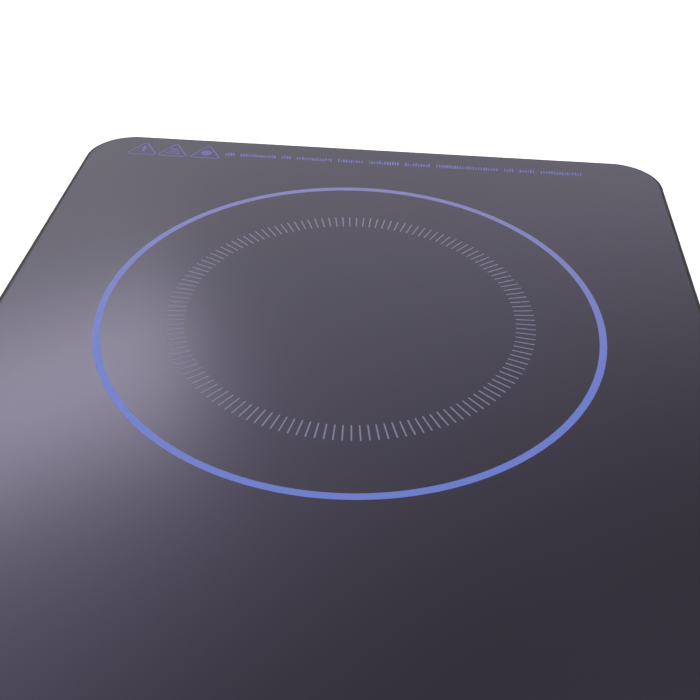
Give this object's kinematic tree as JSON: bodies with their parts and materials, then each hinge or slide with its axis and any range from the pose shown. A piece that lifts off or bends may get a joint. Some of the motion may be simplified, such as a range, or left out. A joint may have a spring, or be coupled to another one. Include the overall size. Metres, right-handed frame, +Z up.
{
  "type": "portable induction hob",
  "caption": "Portable single-zone induction hob with a full glass top, touch controls at the front edge, rubber feet and a cooled flat coil inside a plastic housing.",
  "frame": {"origin": "middle of the footprint, on the worktop under the feet", "axes": "+Z up, -Y towards the cook (the touch-control edge), +X to the cook's right"},
  "size_m": [0.28, 0.35, 0.062],
  "materials": {
    "cooktop_glass": "polished smoke-grey glass ceramic, opaque from outside, with pale printing",
    "housing_plastic": "black moulded plastic, fine spark texture",
    "silicone_seal": "dark silicone adhesive",
    "foot_rubber": "moulded rubber",
    "screw_steel": "zinc-plated steel",
    "plate_foil": "blank brushed foil",
    "fan_plastic": "black glass-filled plastic",
    "bearing_bronze": "sintered bronze",
    "magnet": "bonded ferrite magnet",
    "shaft_steel": "ground steel",
    "core_iron": "stacked silicon steel",
    "copper": "enamelled copper",
    "ferrite": "sintered ferrite",
    "carrier_plastic": "glass-filled plastic",
    "mica": "pressed mica sheet",
    "cap_ceramic": "white technical ceramic",
    "bead_glass": "glass-sealed bead",
    "spring_steel": "drawn spring wire",
    "board_green": "glass-epoxy board with green mask",
    "sink_aluminium": "extruded aluminium",
    "component_black": "black epoxy",
    "film_yellow": "yellow capacitor case",
    "film_grey": "grey capacitor case",
    "choke_coat": "epoxy-coated core",
    "winding_tape": "polyester tape over the winding",
    "can_sleeve": "shrink-sleeved can",
    "fuse_glass": "glass tube with plated caps",
    "clip_brass": "plated brass",
    "varistor_blue": "blue epoxy dip",
    "socket_white": "white nylon",
    "lead_sleeve": "silicone sleeve",
    "lead_red": "PVC-insulated lead"
  },
  "bodies": {
    "hob": {"glass_plate": "cooktop_glass", "glass_seal": "silicone_seal", "top_frame": "housing_plastic", "bottom_tray": "housing_plastic", "housing_screws": "screw_steel", "rating_plate": "plate_foil", "cord_gland": "foot_rubber", "foot_front_left": "foot_rubber", "foot_front_right": "foot_rubber", "foot_rear_left": "foot_rubber", "foot_rear_right": "foot_rubber", "fan_frame": "fan_plastic", "fan_bearing": "bearing_bronze", "fan_stator": "core_iron", "fan_windings": "copper", "fan_screws": "screw_steel", "fan_lead": "lead_red", "coil_carrier": "carrier_plastic", "litz_coil": "copper", "ferrite_bars": "ferrite", "mica_disc": "mica", "coil_screws": "screw_steel", "coil_leads": "lead_sleeve", "sensor_holder": "carrier_plastic", "sensor_spring": "spring_steel", "sensor_lead": "lead_sleeve", "power_board": "board_green", "board_screws": "screw_steel", "heat_sink": "sink_aluminium", "power_transistor": "component_black", "bridge_rectifier": "component_black", "resonant_capacitor": "film_grey", "smoothing_capacitor": "film_grey", "mains_capacitor": "film_yellow", "choke_core": "choke_coat", "choke_winding": "copper", "electrolytics": "can_sleeve", "transformer_core": "ferrite", "transformer_winding": "winding_tape", "transformer_foot": "carrier_plastic", "fuse": "fuse_glass", "fuse_clips": "clip_brass", "varistor": "varistor_blue", "buzzer": "component_black", "board_sockets": "socket_white", "coil_terminals": "clip_brass", "terminal_nuts": "clip_brass", "touch_board": "board_green", "touch_screws": "screw_steel", "key_springs": "spring_steel", "display_module": "component_black", "key_lamps": "socket_white", "control_chip": "component_black", "ribbon_cable": "lead_sleeve"},
    "fan_wheel": {"fan_rotor": "fan_plastic", "rotor_magnet": "magnet", "fan_shaft": "shaft_steel"},
    "heat_sensor": {"sensor_cap": "cap_ceramic", "thermistor": "bead_glass"}
  },
  "joints": [
    {"name": "fan_spin", "type": "hinge", "parent": "hob", "child": "fan_wheel", "pos_m": [0, 0.112, 0.02], "axis": [0, 0, 1], "continuous": true},
    {"name": "sensor_slide", "type": "slide", "parent": "hob", "child": "heat_sensor", "axis": [0, 0, 1], "range_m": [-0.0015, 0], "stiffness_N_per_m": 300, "springref_m": 0.004, "deforming": ["sensor_spring"]}
  ]
}
